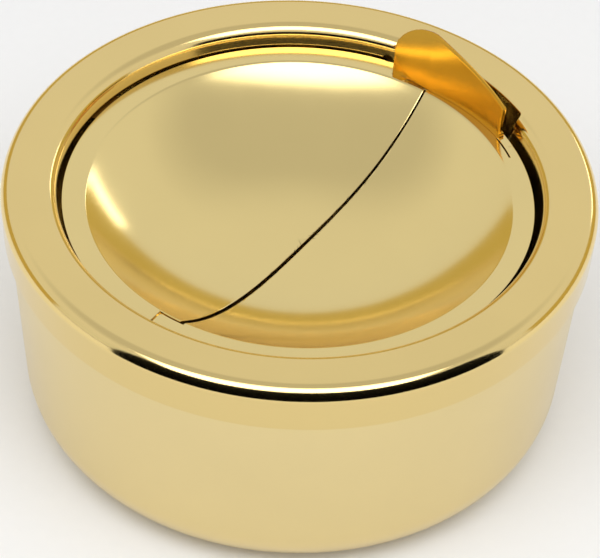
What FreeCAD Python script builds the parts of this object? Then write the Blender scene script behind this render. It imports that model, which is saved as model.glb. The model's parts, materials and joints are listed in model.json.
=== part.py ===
"""Table ashtray with a drawn pot, a lift-off ringed cover and a half-dish flap that a thumb lever tips.

Frame: origin at the centre of the pot's underside, +Z up, millimetres.
The flap's hinge axis runs along Y. The flap lies on the +X side, the thumb lever at the +Y end.
"""
import FreeCAD
import Part
import math
import os

# ---- driving dimensions ------------------------------------------------------------------------

SHEET = 0.8                    # wall of every pressed piece
FULL_TURN = 360.0

# cover ring, from the outside inwards
RING_RADIUS = 60.0             # outside, at its widest
RING_TOP = 56.0                # height of the ring's flat top
SHOULDER_ROUND = 2.7
SKIRT_DROP = 7.7               # from the widest level down to the skirt's edge
SKIRT_FLARE = 0.5              # how much narrower the skirt is at its edge
RING_TOP_WIDTH = 6.0           # flat between the shoulder and the lip
LIP_ROUND = 2.5
CHANNEL_WIDTH = 2.9            # from the lip's start in to the collar
CHANNEL_SLOPE = 10.0           # degrees from upright of the channel's wall
COLLAR_BELOW_HINGE = 2.6       # collar's edge under the hinge axis

# pot
SKIRT_CLEARANCE = 0.4          # round the pot's neck, inside the skirt
SEAT_GAP = 0.1                 # between the pot's edge and the shoulder that rests on it
NECK_BELOW_SKIRT = 0.6         # the pot's straight neck reaches this far under the skirt
POT_TAPER = 4.85               # degrees that the wall leans out below the neck
POT_BOTTOM_ROUND = 11.4        # outside radius between floor and wall

# dish, in two halves
FLANGE_DROP = 4.2              # flange top below the ring's top
FLANGE_GAP = 0.6               # between the fixed half's flange and the collar
FLAP_EDGE_INSET = 0.5          # the flap's flange ends this much further in
FLANGE_WIDTH = 4.6             # on the fixed half
DISH_DEPTH = 10.9
SEAM_X = 1.66                  # fixed half's cut edge
SEAM_GAP_NEAR = 0.9            # width of the seam at the -Y rim
SEAM_GAP_FAR = 0.4             # width of the seam at the +Y rim
FLAP_DROP = 0.1                # flap sits this far under the fixed half's level
TONGUE_END_X = -2.9            # the flap's flange runs past the seam to here
TONGUE_GAP = 0.3               # between the tongue and the fixed half round it

# hinge
HINGE_X = -10.0
HINGE_BELOW_FLAP = 2.5         # axis under the flap's flange
EAR_RADIUS = 2.2
ARM_THICKNESS = 1.0
ARM_FOOT_WIDTH = 2.3
ARM_FOOT_END_X = 9.0
STOP_LUG_LENGTH = 2.0
STOP_GAP = 0.05
RIVET_RADIUS = 1.0
RIVET_HEAD_RADIUS = 1.7
RIVET_HEAD_THICKNESS = 0.6
RUNNING_CLEARANCE = 0.05       # radial, between rivet and ear
SIDE_CLEARANCE = 0.1           # along the axis, each side of an ear
WASHER_RADIUS = 2.0
WASHER_THICKNESS = 0.8
WASHER_SEAT_GAP = 0.3          # between the flat washer and the curved collar, at its nearest
HINGE_WINDOW_RADIUS = 1.3      # opening in the channel wall over the far rivet
HINGE_WINDOW_RISE = 3.0        # its middle above the hinge axis

# return spring on the near rivet
SPRING_WIRE = 0.6
SPRING_CLEARANCE = 0.3         # between the coil and the rivet
SPRING_TURNS = 3
SPRING_PITCH = 0.7
SPRING_LEG = 9.0

# thumb lever, angles in degrees round from +X
LEVER_SHEET = 0.9
LEVER_SETBACK = 2.1            # from the bowl's rim out to the lever's inner face, at the low end
LEVER_NOSE_SETBACK = 0.6       # the same from where the rounded end starts
LEVER_START = 61.0
LEVER_FOOT_END = 86.0
LEVER_ROUND_START = 88.0
LEVER_END = 98.5
LEVER_LOW_HEIGHT = 7.3
LEVER_TOP_HEIGHT = 12.6
LEVER_NOSE_HEIGHT = 6.9
LEVER_LEAN = 1.6
LEVER_FLARE = 1.6
LEVER_FOOT_INSET = 0.3         # foot's edge inside the flange's edge

# recess in the channel behind the lever, and the slit beside the lever
RECESS_ROUND = 0.4             # of the lip where it is pressed back for the recess
RECESS_MARGIN = 0.6            # degrees past the lever's low end
RECESS_BEFORE_HINGE = 4.4      # degrees short of the hinge axis
RELIEF_ANGLE = 8.0
RELIEF_WIDTH = 0.3

# stations of the lever's loft
BODY_STATIONS = 4              # equal steps along the straight part
NOSE_TURNS = (25, 45, 62, 78)  # degrees round the rounded end

# clips that hold the fixed half
CLIP_ANGLES = (125.0, 180.0, 235.0)
CLIP_WIDTH = 8.0
CLIP_SETBACK = 1.2             # foot's end outside the bowl's rim
CLIP_ABOVE_EDGE = 0.4          # leg's end above the collar's edge

# ---- derived sizes -----------------------------------------------------------------------------

WIDEST_HEIGHT = RING_TOP - SHOULDER_ROUND
SKIRT_FOOT = WIDEST_HEIGHT - SKIRT_DROP
SHOULDER_RADIUS = RING_RADIUS - SHOULDER_ROUND
POT_RADIUS = RING_RADIUS - SKIRT_FLARE - SHEET - SKIRT_CLEARANCE
LIP_RADIUS = SHOULDER_RADIUS - RING_TOP_WIDTH
COLLAR_RADIUS = LIP_RADIUS - CHANNEL_WIDTH
FLANGE_RADIUS = COLLAR_RADIUS - FLANGE_GAP
DISH_RADIUS = FLANGE_RADIUS - FLANGE_WIDTH
LEVER_LOW_RADIUS = DISH_RADIUS + LEVER_SETBACK
FLAP_RADIUS = FLANGE_RADIUS - FLAP_EDGE_INSET
RECESS_RADIUS = LIP_RADIUS - RECESS_ROUND

FLANGE_TOP = RING_TOP - FLANGE_DROP
FLANGE_UNDERSIDE = FLANGE_TOP - SHEET
FLAP_TOP = FLANGE_TOP - FLAP_DROP
FLAP_UNDERSIDE = FLAP_TOP - SHEET
ARM_FOOT_UNDERSIDE = FLAP_UNDERSIDE - SHEET
HINGE_HEIGHT = FLAP_UNDERSIDE - HINGE_BELOW_FLAP
COLLAR_FOOT = HINGE_HEIGHT - COLLAR_BELOW_HINGE

WASHER_SEAT = math.sqrt(COLLAR_RADIUS ** 2 - (abs(HINGE_X) + WASHER_RADIUS) ** 2) - WASHER_SEAT_GAP
ARM_OUTSIDE = WASHER_SEAT - WASHER_THICKNESS - SIDE_CLEARANCE
ARM_INSIDE = ARM_OUTSIDE - ARM_THICKNESS
HINGE_ANGLE = 90.0 - math.degrees(math.asin(HINGE_X / COLLAR_RADIUS))
RECESS_START = LEVER_START - RECESS_MARGIN
RECESS_END = HINGE_ANGLE - RECESS_BEFORE_HINGE
BEYOND = 2.0 * RING_RADIUS     # reach of a cutting block that must pass the whole object


def point(radius, height):
    """A point of an outline in the plane through the axis."""
    return FreeCAD.Vector(radius, 0, height)


def line(start, end):
    return Part.LineSegment(start, end).toShape()


def arc(centre, radius, start_angle, end_angle):
    """Arc in the outline's plane, angles in degrees from the outward direction."""
    mid_angle = 0.5 * (start_angle + end_angle)
    places = [centre + FreeCAD.Vector(radius * math.cos(math.radians(angle)), 0,
                                      radius * math.sin(math.radians(angle)))
              for angle in (start_angle, mid_angle, end_angle)]
    return Part.Arc(*places).toShape()


def bowed_line(places):
    """Curve of second degree through the first and last place, bowed towards the middle one."""
    curve = Part.BezierCurve()
    curve.setPoles(places)
    return curve.toShape()


def turned(face, start_angle=0.0, sweep=FULL_TURN):
    """Solid made by turning an outline's face about the vertical axis."""
    solid = face.revolve(FreeCAD.Vector(), FreeCAD.Vector(0, 0, 1), sweep)
    solid.rotate(FreeCAD.Vector(), FreeCAD.Vector(0, 0, 1), start_angle)
    return solid


def sheet_face(edges, thickness):
    """Face of a bent sheet: its seen side is the path, its wall lies left of the path's direction."""
    path = Part.Wire(edges)
    return path.makeOffset2D(thickness, join=0, fill=True, openResult=True)


def polygon_face(places):
    return Part.Face(Part.makePolygon(places + [places[0]]))


def plan_block(corners, low, high):
    """Upright block over a polygon in plan."""
    face = polygon_face([FreeCAD.Vector(x, y, low) for x, y in corners])
    return face.extrude(FreeCAD.Vector(0, 0, high - low))


def box(low, high):
    size = high - low
    return Part.makeBox(size.x, size.y, size.z, low)


def disc(radius, thickness, y_start, outward):
    """Round disc on the hinge axis, from y_start towards the rim on the side that outward names."""
    centre = FreeCAD.Vector(HINGE_X, outward * y_start, HINGE_HEIGHT)
    return Part.makeCylinder(radius, thickness, centre, FreeCAD.Vector(0, outward, 0))


# ---- pot ---------------------------------------------------------------------------------------

def pot_rim_height():
    """The pot's edge stops just under the ring's shoulder, which rests on its outer corner."""
    reach = max(POT_RADIUS - SHOULDER_RADIUS, 0.0)
    return WIDEST_HEIGHT + math.sqrt((SHOULDER_ROUND - SHEET) ** 2 - reach ** 2) - SEAT_GAP


def make_pot():
    lean = math.radians(POT_TAPER)
    neck_foot = point(POT_RADIUS, SKIRT_FOOT - NECK_BELOW_SKIRT)
    rise = neck_foot.z - POT_BOTTOM_ROUND
    floor_radius = POT_RADIUS - (POT_BOTTOM_ROUND + rise * math.sin(lean)) / math.cos(lean)
    centre = point(floor_radius, POT_BOTTOM_ROUND)
    wall_foot = centre + point(POT_BOTTOM_ROUND * math.cos(lean), -POT_BOTTOM_ROUND * math.sin(lean))
    edges = [line(point(0, 0), point(floor_radius, 0)),
             arc(centre, POT_BOTTOM_ROUND, -90.0, -POT_TAPER),
             line(wall_foot, neck_foot),
             line(neck_foot, point(POT_RADIUS, pot_rim_height()))]
    return turned(sheet_face(edges, SHEET))


# ---- cover ring --------------------------------------------------------------------------------

def lip_centre(lip_round):
    return point(LIP_RADIUS, RING_TOP - lip_round)


def channel_top(lip_round, slope):
    """Where the lip's round passes into a wall that leans this many degrees from upright."""
    lean = math.radians(slope)
    return lip_centre(lip_round) + point(-lip_round * math.cos(lean), lip_round * math.sin(lean))


def channel_foot():
    """Where the channel's wall meets the upright collar."""
    top = channel_top(LIP_ROUND, CHANNEL_SLOPE)
    return point(COLLAR_RADIUS, top.z - (top.x - COLLAR_RADIUS) / math.tan(math.radians(CHANNEL_SLOPE)))


def wall_radius(height):
    """Radius of the seen side of channel wall or collar at this height."""
    above = max(height - channel_foot().z, 0.0)
    return COLLAR_RADIUS + above * math.tan(math.radians(CHANNEL_SLOPE))


def ring_edges(lip_round, slope, foot):
    """Seen side of the ring, from the skirt's edge over the top and down to the collar's edge."""
    widest = point(RING_RADIUS, WIDEST_HEIGHT)
    return [line(point(RING_RADIUS - SKIRT_FLARE, SKIRT_FOOT), widest),
            arc(point(SHOULDER_RADIUS, WIDEST_HEIGHT), SHOULDER_ROUND, 0.0, 90.0),
            line(point(SHOULDER_RADIUS, RING_TOP), point(LIP_RADIUS, RING_TOP)),
            arc(lip_centre(lip_round), lip_round, 90.0, 180.0 - slope),
            line(channel_top(lip_round, slope), foot),
            line(foot, point(foot.x, COLLAR_FOOT))]


def recess_sector():
    """Wedge of space in which the recess takes the place of lip, wall and collar."""
    inner = COLLAR_RADIUS - SHEET
    outer = LIP_RADIUS + SHEET
    low = COLLAR_FOOT - SHEET
    face = polygon_face([point(inner, low), point(outer, low), point(outer, RING_TOP), point(inner, RING_TOP)])
    return turned(face, RECESS_START, RECESS_END - RECESS_START)


def recess_wall():
    """Stretch of ring whose lip is pressed back to a small round over an upright wall."""
    foot = point(RECESS_RADIUS, channel_foot().z)
    return turned(sheet_face(ring_edges(RECESS_ROUND, 0.0, foot), SHEET))


def recess_cheek(start_angle):
    """Upright wall that closes an end of the recess, from the middle of the lip's sheet outwards."""
    middle = SHEET / 2
    lean = math.radians(CHANNEL_SLOPE)
    wall_top = lip_centre(LIP_ROUND) + point(-(LIP_ROUND - middle) * math.cos(lean),
                                             (LIP_ROUND - middle) * math.sin(lean))
    wall_foot = channel_foot() + point(middle, 0)
    outside = RECESS_RADIUS + SHEET
    places = [wall_foot, point(wall_foot.x, COLLAR_FOOT), point(outside, COLLAR_FOOT),
              point(outside, RING_TOP - middle), point(LIP_RADIUS, RING_TOP - middle)]
    edges = [line(start, end) for start, end in zip(places, places[1:])]
    edges += [arc(lip_centre(LIP_ROUND), LIP_ROUND - middle, 90.0, 180.0 - CHANNEL_SLOPE),
              line(wall_top, wall_foot)]
    return turned(Part.Face(Part.Wire(edges)), start_angle, math.degrees(SHEET / COLLAR_RADIUS))


def hinge_window():
    """Opening through the channel wall above the far rivet."""
    depth = 2 * CHANNEL_WIDTH
    middle = FreeCAD.Vector(COLLAR_RADIUS - SHEET, 0, HINGE_HEIGHT + HINGE_WINDOW_RISE)
    cutter = Part.makeCylinder(HINGE_WINDOW_RADIUS, depth, middle, FreeCAD.Vector(1, 0, 0))
    cutter.rotate(FreeCAD.Vector(), FreeCAD.Vector(0, 0, 1), HINGE_ANGLE)
    return cutter


def make_ring():
    ring = turned(sheet_face(ring_edges(LIP_ROUND, CHANNEL_SLOPE, channel_foot()), SHEET))
    sector = recess_sector()
    cheek_turn = math.degrees(SHEET / COLLAR_RADIUS)
    ring = ring.cut(sector).fuse([recess_wall().common(sector), recess_cheek(RECESS_START),
                                  recess_cheek(RECESS_END - cheek_turn)])
    for outward in (-1, 1):
        ring = ring.cut(disc(RIVET_RADIUS, 2 * CHANNEL_WIDTH, ARM_OUTSIDE, outward))
    return ring.cut(hinge_window()).removeSplitter()


# ---- dish halves -------------------------------------------------------------------------------

def dish_blank(flange_top, flange_radius):
    """Whole round dish with its flange; the bowl's depth falls with the cube of the radius."""
    curve = Part.BezierCurve()
    low = flange_top - DISH_DEPTH
    curve.setPoles([point(0, low), point(DISH_RADIUS / 3, low), point(DISH_RADIUS * 2 / 3, low),
                    point(DISH_RADIUS, flange_top)])
    bowl_depth = SHEET / math.cos(math.atan(3 * DISH_DEPTH / DISH_RADIUS))
    under = Part.BezierCurve()
    under_low = low - SHEET
    under_rim = point(DISH_RADIUS + bowl_depth - SHEET, flange_top - SHEET)
    under.setPoles([point(0, under_low), point(under_rim.x / 3, under_low), point(under_rim.x * 2 / 3, under_low),
                    under_rim])
    rim_in = point(DISH_RADIUS, flange_top)
    rim_out = point(flange_radius, flange_top)
    edge_low = point(flange_radius, flange_top - SHEET)
    face = Part.Face(Part.Wire([curve.toShape(), line(rim_in, rim_out), line(rim_out, edge_low),
                                line(edge_low, under_rim), under.toShape(),
                                line(point(0, under_low), point(0, low))]))
    return turned(face)


def ring_block(inner, outer, low, high):
    tall = high - low
    base = FreeCAD.Vector(0, 0, low)
    return Part.makeCylinder(outer, tall, base).cut(Part.makeCylinder(inner, tall, base))


def make_fixed_half():
    blank = dish_blank(FLANGE_TOP, FLANGE_RADIUS)
    beyond_seam = plan_block([(SEAM_X, -BEYOND), (BEYOND, -BEYOND), (BEYOND, BEYOND), (SEAM_X, BEYOND)], 0, BEYOND)
    half = blank.cut(beyond_seam)
    collar = ring_block(DISH_RADIUS + TONGUE_GAP, BEYOND, FLANGE_UNDERSIDE - SHEET, FLANGE_TOP + SHEET)
    stop = TONGUE_END_X - TONGUE_GAP
    beyond_stop = plan_block([(stop, -BEYOND), (BEYOND, -BEYOND), (BEYOND, BEYOND), (stop, BEYOND)], 0, BEYOND)
    return half.cut(collar.common(beyond_stop))


def make_flap_half():
    blank = dish_blank(FLAP_TOP, FLAP_RADIUS)
    near_edge = SEAM_X + SEAM_GAP_NEAR
    far_edge = SEAM_X + SEAM_GAP_FAR
    widening = (near_edge - far_edge) / (2 * DISH_RADIUS)
    middle = 0.5 * (near_edge + far_edge)
    seam_side = plan_block([(middle + widening * BEYOND, -BEYOND), (BEYOND, -BEYOND), (BEYOND, BEYOND),
                            (middle - widening * BEYOND, BEYOND)], 0, BEYOND)
    tongue_side = plan_block([(TONGUE_END_X, -BEYOND), (BEYOND, -BEYOND), (BEYOND, BEYOND),
                              (TONGUE_END_X, BEYOND)], 0, BEYOND)
    rim = ring_block(DISH_RADIUS + 2 * TONGUE_GAP, FLAP_RADIUS + SHEET, FLAP_UNDERSIDE - SHEET,
                     FLAP_TOP + SHEET)
    half = blank.common(seam_side).fuse(blank.common(tongue_side).common(rim))
    return half.removeSplitter().cut(pinch_relief())


def pinch_relief():
    """Narrow slit in the flap's flange that runs on from the lever's lower end."""
    slit = ring_block(LEVER_LOW_RADIUS - RELIEF_WIDTH / 2, LEVER_LOW_RADIUS + RELIEF_WIDTH / 2,
                      FLAP_UNDERSIDE - SHEET, FLAP_TOP + SHEET)
    wedge = polygon_face([point(0, 0), point(BEYOND, 0), point(BEYOND, BEYOND), point(0, BEYOND)])
    return slit.common(turned(wedge, LEVER_START - RELIEF_ANGLE, RELIEF_ANGLE))


# ---- thumb lever -------------------------------------------------------------------------------

def lever_along(angle):
    """Share of the way from the low end to where the rounded end starts."""
    return (angle - LEVER_START) / (LEVER_ROUND_START - LEVER_START)


def lever_foot_radius(angle):
    """Radius of the lever's inner face at its foot."""
    return LEVER_LOW_RADIUS - (LEVER_SETBACK - LEVER_NOSE_SETBACK) * min(lever_along(angle), 1.0)


def lever_section(angle):
    """Closed outline of the lever's upright wall on the plane through the axis at this angle."""
    along = lever_along(angle)
    bottom = FLAP_TOP
    top = bottom + LEVER_LOW_HEIGHT + (LEVER_TOP_HEIGHT - LEVER_LOW_HEIGHT) * min(along, 1.0)
    if angle > LEVER_ROUND_START:
        past = (angle - LEVER_ROUND_START) / (LEVER_END - LEVER_ROUND_START)
        keep = math.sqrt(1.0 - past ** 2)
        nose = FLAP_TOP + LEVER_NOSE_HEIGHT
        bottom = nose - (nose - bottom) * keep
        top = nose + (top - nose) * keep
    places = []
    for height in (bottom, 0.5 * (bottom + top), top):
        share = (height - FLAP_TOP) / LEVER_TOP_HEIGHT
        radius = lever_foot_radius(angle) + LEVER_LEAN * share + LEVER_FLARE * share ** 3 * along ** 2
        places.append(point(radius, height))
    outer = [place + FreeCAD.Vector(LEVER_SHEET, 0, 0) for place in places]
    wire = Part.Wire([bowed_line(places), line(places[2], outer[2]), bowed_line(outer[::-1]),
                      line(outer[0], places[0])])
    wire.rotate(FreeCAD.Vector(), FreeCAD.Vector(0, 0, 1), angle)
    return wire


def lever_foot():
    """Flat foot on the flange, from within the wall out to just short of the flange's edge."""
    foot_end = FLAP_RADIUS - LEVER_FOOT_INSET
    reach = LEVER_FOOT_END - LEVER_START
    angles = [LEVER_START + reach * step / BODY_STATIONS for step in range(BODY_STATIONS + 1)]
    places = [(lever_foot_radius(angle) + LEVER_SHEET / 2, angle) for angle in angles]
    places += [(FLAP_RADIUS + SHEET, angle) for angle in reversed(angles)]
    corners = [(radius * math.cos(math.radians(angle)), radius * math.sin(math.radians(angle)))
               for radius, angle in places]
    foot_top = FLAP_TOP + LEVER_SHEET
    within = Part.makeCylinder(foot_end, foot_top, FreeCAD.Vector())
    return plan_block(corners, FLAP_TOP, foot_top).common(within)


def make_lever():
    body_reach = LEVER_ROUND_START - LEVER_START
    body_stations = [LEVER_START + body_reach * step / BODY_STATIONS for step in range(BODY_STATIONS + 1)]
    nose_reach = LEVER_END - LEVER_ROUND_START
    nose_stations = [LEVER_ROUND_START + nose_reach * math.sin(math.radians(turn)) for turn in NOSE_TURNS]
    wall = Part.makeLoft([lever_section(angle) for angle in body_stations + nose_stations], True, False)
    wall = wall.cut(Part.makeCylinder(BEYOND, FLAP_TOP))
    return wall.fuse(lever_foot()).removeSplitter()


# ---- hinge -------------------------------------------------------------------------------------

def make_arm(outward, with_stop):
    """Bracket under the flap's flange whose upright web reaches back to the hinge."""
    web_low = HINGE_HEIGHT - EAR_RADIUS
    web_high = HINGE_HEIGHT + EAR_RADIUS
    under_tongue = TONGUE_END_X - 2 * TONGUE_GAP
    corners = [(HINGE_X, web_low), (TONGUE_END_X, web_low), (ARM_FOOT_END_X, ARM_FOOT_UNDERSIDE),
               (ARM_FOOT_END_X, FLAP_UNDERSIDE), (TONGUE_END_X, FLAP_UNDERSIDE), (under_tongue, web_high),
               (HINGE_X, web_high)]
    outline = polygon_face([FreeCAD.Vector(x, ARM_INSIDE, height) for x, height in corners])
    web = outline.extrude(FreeCAD.Vector(0, ARM_THICKNESS, 0))
    foot = box(FreeCAD.Vector(TONGUE_END_X, ARM_OUTSIDE - ARM_FOOT_WIDTH, ARM_FOOT_UNDERSIDE),
               FreeCAD.Vector(ARM_FOOT_END_X, ARM_OUTSIDE, FLAP_UNDERSIDE))
    arm = web.fuse([disc(EAR_RADIUS, ARM_THICKNESS, ARM_INSIDE, 1), foot])
    if with_stop:
        arm = arm.fuse(box(FreeCAD.Vector(under_tongue - STOP_LUG_LENGTH, ARM_INSIDE, HINGE_HEIGHT),
                           FreeCAD.Vector(under_tongue, ARM_OUTSIDE, FLANGE_UNDERSIDE - STOP_GAP)))
    arm = arm.cut(disc(RIVET_RADIUS + RUNNING_CLEARANCE, BEYOND, 0, 1)).removeSplitter()
    if outward < 0:
        arm = arm.mirror(FreeCAD.Vector(), FreeCAD.Vector(0, 1, 0))
    return arm


def spring_room():
    return SPRING_TURNS * SPRING_PITCH + SPRING_WIRE + 2 * SIDE_CLEARANCE


def make_rivet(outward, extra):
    """Headed rivet, peened outside the collar; extra is the bare shank that carries the spring."""
    head_face = ARM_INSIDE - SIDE_CLEARANCE - extra
    nearest_x = abs(HINGE_X) - RIVET_HEAD_RADIUS
    outside = wall_radius(HINGE_HEIGHT + RIVET_HEAD_RADIUS) + SHEET / math.cos(math.radians(CHANNEL_SLOPE))
    collar_outside = math.sqrt(outside ** 2 - nearest_x ** 2)
    shank = disc(RIVET_RADIUS, collar_outside - head_face, head_face, outward)
    head = disc(RIVET_HEAD_RADIUS, RIVET_HEAD_THICKNESS, head_face - RIVET_HEAD_THICKNESS, outward)
    peened = disc(RIVET_HEAD_RADIUS, RIVET_HEAD_THICKNESS, collar_outside, outward)
    return shank.fuse([head, peened]).removeSplitter()


def make_washer(outward):
    start = ARM_OUTSIDE + SIDE_CLEARANCE
    blank = disc(WASHER_RADIUS, WASHER_THICKNESS, start, outward)
    return blank.cut(disc(RIVET_RADIUS, WASHER_THICKNESS, start, outward))


# ---- return spring -----------------------------------------------------------------------------

def make_coil(wire_radius, coil_radius, start_y):
    """Turns of wire on the hinge axis, starting and ending straight above it."""
    helix = Part.makeHelix(SPRING_PITCH, SPRING_TURNS * SPRING_PITCH, coil_radius)
    helix.rotate(FreeCAD.Vector(), FreeCAD.Vector(1, 0, 0), -90)
    helix.rotate(FreeCAD.Vector(), FreeCAD.Vector(0, 1, 0), -90)
    helix.translate(FreeCAD.Vector(HINGE_X, start_y, HINGE_HEIGHT))
    first = helix.Edges[0]
    start = first.valueAt(first.FirstParameter)
    profile = Part.Wire(Part.makeCircle(wire_radius, start, first.tangentAt(first.FirstParameter)))
    return Part.Wire(helix.Edges).makePipeShell([profile], True, True)


def make_spring():
    """Torsion spring round the near rivet: one leg lifts the arm's foot, one bears on the fixed flange."""
    wire_radius = SPRING_WIRE / 2
    coil_radius = RIVET_RADIUS + SPRING_CLEARANCE + wire_radius
    outer_y = -(ARM_INSIDE - SIDE_CLEARANCE - wire_radius)
    inner_y = outer_y + SPRING_TURNS * SPRING_PITCH
    top = HINGE_HEIGHT + coil_radius
    moving_root = FreeCAD.Vector(HINGE_X, outer_y, top)
    bearing = FreeCAD.Vector(TONGUE_END_X, outer_y, ARM_FOOT_UNDERSIDE - wire_radius)
    moving_run = bearing - moving_root
    moving_run.Length = SPRING_LEG
    fixed_root = FreeCAD.Vector(HINGE_X, inner_y, top)
    fixed_rise = FLANGE_UNDERSIDE - wire_radius - top
    fixed_run = FreeCAD.Vector(-math.sqrt(SPRING_LEG ** 2 - fixed_rise ** 2), 0, fixed_rise)
    pieces = []
    for root, run in ((moving_root, moving_run), (fixed_root, fixed_run)):
        pieces.append(Part.makeCylinder(wire_radius, run.Length, root, run))
        pieces.append(Part.makeSphere(wire_radius, root))
    return make_coil(wire_radius, coil_radius, outer_y).fuse(pieces).removeSplitter()


# ---- clips -------------------------------------------------------------------------------------

def make_clip(middle_angle):
    """Angle clip: its foot lies under the fixed flange, its leg against the inside of the collar."""
    reach = DISH_RADIUS + CLIP_SETBACK
    leg_face = COLLAR_RADIUS - SHEET
    leg_end = COLLAR_FOOT + CLIP_ABOVE_EDGE
    foot_low = FLANGE_UNDERSIDE - SHEET
    face = polygon_face([point(reach, FLANGE_UNDERSIDE), point(COLLAR_RADIUS, FLANGE_UNDERSIDE),
                         point(COLLAR_RADIUS, leg_end), point(leg_face, leg_end), point(leg_face, foot_low),
                         point(reach, foot_low)])
    sweep = math.degrees(CLIP_WIDTH / COLLAR_RADIUS)
    return turned(face, middle_angle - sweep / 2, sweep)


# ---- all pieces --------------------------------------------------------------------------------

def all_pieces():
    pieces = {
        "ash_pot": make_pot(),
        "rim_ring": make_ring(),
        "fixed_dish_half": make_fixed_half(),
        "flap_dish_half": make_flap_half(),
        "thumb_lever": make_lever(),
        "hinge_arm_near": make_arm(-1, True),
        "hinge_arm_far": make_arm(1, False),
        "hinge_rivet_near": make_rivet(-1, spring_room()),
        "hinge_rivet_far": make_rivet(1, 0.0),
        "hinge_washer_near": make_washer(-1),
        "hinge_washer_far": make_washer(1),
        "return_spring": make_spring(),
    }
    for number, angle in enumerate(CLIP_ANGLES, start=1):
        pieces["fixing_clip_%d" % number] = make_clip(angle)
    return pieces


def main():
    os.makedirs("parts", exist_ok=True)
    for name, shape in all_pieces().items():
        print(name, "valid", shape.isValid(), "solids", len(shape.Solids), "volume %.1f" % shape.Volume)
        shape.exportStep("parts/%s.step" % name)


if __name__ == "__main__":
    main()
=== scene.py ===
"""Table ashtray with a drawn pot, a lift-off ringed cover and a half-dish flap with a thumb lever.

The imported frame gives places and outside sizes. Pot, ring, dish halves, lever and spring are modelled
on those; arms, clips, rivets and washers keep their CAD shape and get a finish.
"""

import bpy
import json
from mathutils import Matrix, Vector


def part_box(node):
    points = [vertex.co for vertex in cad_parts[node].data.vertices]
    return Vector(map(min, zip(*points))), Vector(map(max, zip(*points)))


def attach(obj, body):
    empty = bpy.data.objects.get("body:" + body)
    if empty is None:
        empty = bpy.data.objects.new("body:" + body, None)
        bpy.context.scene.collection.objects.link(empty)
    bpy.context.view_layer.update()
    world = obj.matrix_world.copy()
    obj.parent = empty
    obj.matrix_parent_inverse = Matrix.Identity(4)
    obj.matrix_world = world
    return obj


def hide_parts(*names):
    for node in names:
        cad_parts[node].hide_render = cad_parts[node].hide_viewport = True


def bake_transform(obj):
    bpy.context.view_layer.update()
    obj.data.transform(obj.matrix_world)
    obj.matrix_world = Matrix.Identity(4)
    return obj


bl_info = {
    "name": "Tipping-lid ashtray",
    "version": (1, 0, 0),
    "blender": (4, 5, 0),
    "location": "3D View > Sidebar > Ashtray",
    "description": "Pressed sheet pieces, finishes and a studio round the ashtray's packed frame",
    "category": "Object",
}

import bpy
import bmesh
import json
import math
from bpy.props import FloatProperty, FloatVectorProperty, IntProperty, PointerProperty
from mathutils import Matrix, Vector

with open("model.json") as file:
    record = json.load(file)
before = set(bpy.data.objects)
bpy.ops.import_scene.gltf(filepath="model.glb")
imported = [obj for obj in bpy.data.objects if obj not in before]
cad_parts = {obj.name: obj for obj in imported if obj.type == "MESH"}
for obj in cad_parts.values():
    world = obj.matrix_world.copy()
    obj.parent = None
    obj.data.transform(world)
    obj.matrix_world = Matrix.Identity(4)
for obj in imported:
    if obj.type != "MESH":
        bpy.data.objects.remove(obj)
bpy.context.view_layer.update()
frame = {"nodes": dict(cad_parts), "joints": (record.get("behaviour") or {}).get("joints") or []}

# ---- places and outside sizes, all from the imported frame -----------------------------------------

HINGE = next(joint for joint in frame["joints"] if joint["name"] == "flap_tip")
HINGE_PLACE = Vector(HINGE["pos_m"])
RING_LOW, RING_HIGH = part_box("rim_ring")
POT_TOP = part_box("ash_pot")[1]
FIXED_LOW, FIXED_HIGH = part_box("fixed_dish_half")
FLAP_LOW, FLAP_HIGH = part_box("flap_dish_half")
ARM_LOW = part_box("hinge_arm_near")[0]
LEVER_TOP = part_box("thumb_lever")[1].z
CENTRE = Vector((0.0, 0.0, 0.0))
MM = 0.001


# ---- sizes and colours that a user would change --------------------------------------------------

def size(name, description, millimetres):
    return FloatProperty(name=name, description=description, default=millimetres * MM, unit="LENGTH",
                         precision=5)


def angle(name, description, degrees):
    return FloatProperty(name=name, description=description, default=math.radians(degrees), subtype="ANGLE")


def colour(name, description, value):
    return FloatVectorProperty(name=name, description=description, default=value, size=3, min=0.0, max=1.0,
                               subtype="COLOR")


def share(name, description, value):
    return FloatProperty(name=name, description=description, default=value, min=0.0, max=1.0,
                         subtype="FACTOR")


class AshtraySheet(bpy.types.PropertyGroup):
    """Sizes that all pressed pieces share."""
    wall: size("Wall", "Thickness of every pressed piece", 0.8)
    edge: size("Edge", "Rounding of each cut sheet edge", 0.12)
    columns: IntProperty(name="Columns", description="Faces round a whole turn", default=360, min=90, max=720)


class AshtrayRing(bpy.types.PropertyGroup):
    """The cover's ring."""
    shoulder: size("Shoulder", "Radius of the round between skirt and top", 2.7)
    flare: size("Flare", "How much narrower the skirt is at its edge", 0.5)
    top_width: size("Top width", "Flat between shoulder and lip", 6.0)
    lip: size("Lip", "Radius of the lip's round", 2.5)
    channel: size("Channel", "From the lip's start in to the collar", 2.9)
    slope: angle("Channel slope", "Lean of the channel wall from upright", 10.0)
    collar: size("Collar", "How far the collar reaches below the hinge axis", 2.6)
    cheek: angle("Cheek", "Angle over which each end of the recess is pressed back", 1.5)
    recess_lip: size("Recess lip", "Radius of the lip's round where it is pressed back behind the lever", 0.4)
    recess_start: angle("Recess start", "Angle round from +X where the recess starts", 60.4)
    recess_end: angle("Recess end", "Angle round from +X where the recess ends", 97.5)
    window: size("Window", "Radius of the opening over the far rivet", 1.3)
    window_rise: size("Window rise", "Middle of the opening above the hinge axis", 3.0)


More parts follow.
